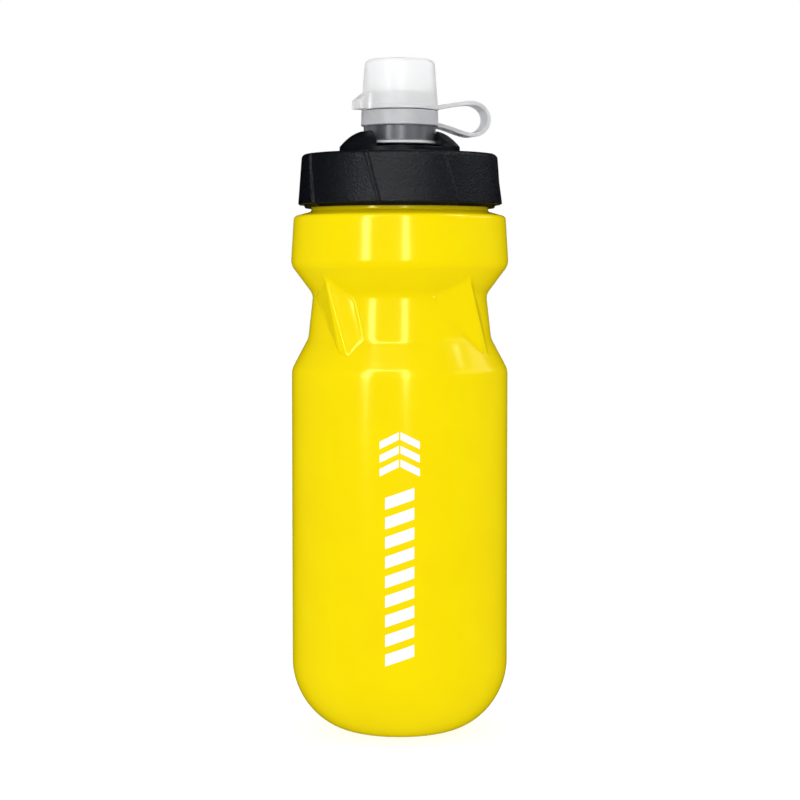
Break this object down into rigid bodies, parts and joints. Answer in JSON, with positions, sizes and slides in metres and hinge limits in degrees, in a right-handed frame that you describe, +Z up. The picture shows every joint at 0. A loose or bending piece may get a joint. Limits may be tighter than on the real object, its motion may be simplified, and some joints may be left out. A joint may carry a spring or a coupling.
{
  "type": "bicycle water bottle",
  "caption": "Cylindrical squeeze bottle for a bicycle cage with a gripped waist, stepped screw lid, pull-up nozzle and tethered dust cap.",
  "frame": {"origin": "on the bottle's axis, on the plane that its base stands on", "axes": "+Z up along the bottle's axis; -Y is the printed front, and the dust cap's strap points to the back right"},
  "size_m": [0.0732, 0.0732, 0.2256],
  "materials": {
    "bottle_plastic": "satin",
    "print_ink": "satin",
    "gasket_silicone": "matte",
    "lid_plastic": "satin",
    "collar_plastic": "satin",
    "seal_rubber": "matte",
    "nozzle_plastic": "satin",
    "tip_silicone": "satin",
    "cap_silicone": "satin"
  },
  "bodies": {
    "bottle": {"bottle_body": "bottle_plastic"},
    "gasket": {"lid_gasket": "gasket_silicone"},
    "lid": {"lid_shell": "lid_plastic", "spout_collar": "collar_plastic", "collar_o_ring": "seal_rubber", "stem_o_ring": "seal_rubber"},
    "nozzle": {"nozzle_sleeve": "nozzle_plastic", "nozzle_tip": "tip_silicone", "valve_membrane": "tip_silicone"},
    "tether": {"tether_ring": "cap_silicone", "tether_strap": "cap_silicone"},
    "dust_cap": {"dust_cap": "cap_silicone"}
  },
  "joints": [
    {"name": "lid_lift", "type": "slide", "parent": "bottle", "child": "gasket", "axis": [0, 0, 1], "range_m": [0, 0.015]},
    {"name": "lid_turn", "type": "hinge", "parent": "gasket", "child": "lid", "pos_m": [0, 0, 0.185], "axis": [0, 0, 1], "range_deg": [0, 1080]},
    {"name": "nozzle_pull", "type": "slide", "parent": "lid", "child": "nozzle", "axis": [0, 0, 1], "range_m": [0, 0.006]},
    {"name": "tether_swivel", "type": "hinge", "parent": "nozzle", "child": "tether", "pos_m": [0, 0, 0.206], "axis": [0, 0, 1], "continuous": true},
    {"name": "cap_flip", "type": "hinge", "parent": "tether", "child": "dust_cap", "pos_m": [0.0281, 0.0131, 0.2062], "axis": [-0.4226, 0.9063, 0], "range_deg": [0, 150], "deforming": ["tether_strap"]}
  ],
  "couplings": [
    {"joint": "lid_lift", "follows": "lid_turn", "m_per_rad": 0.00079577}
  ]
}
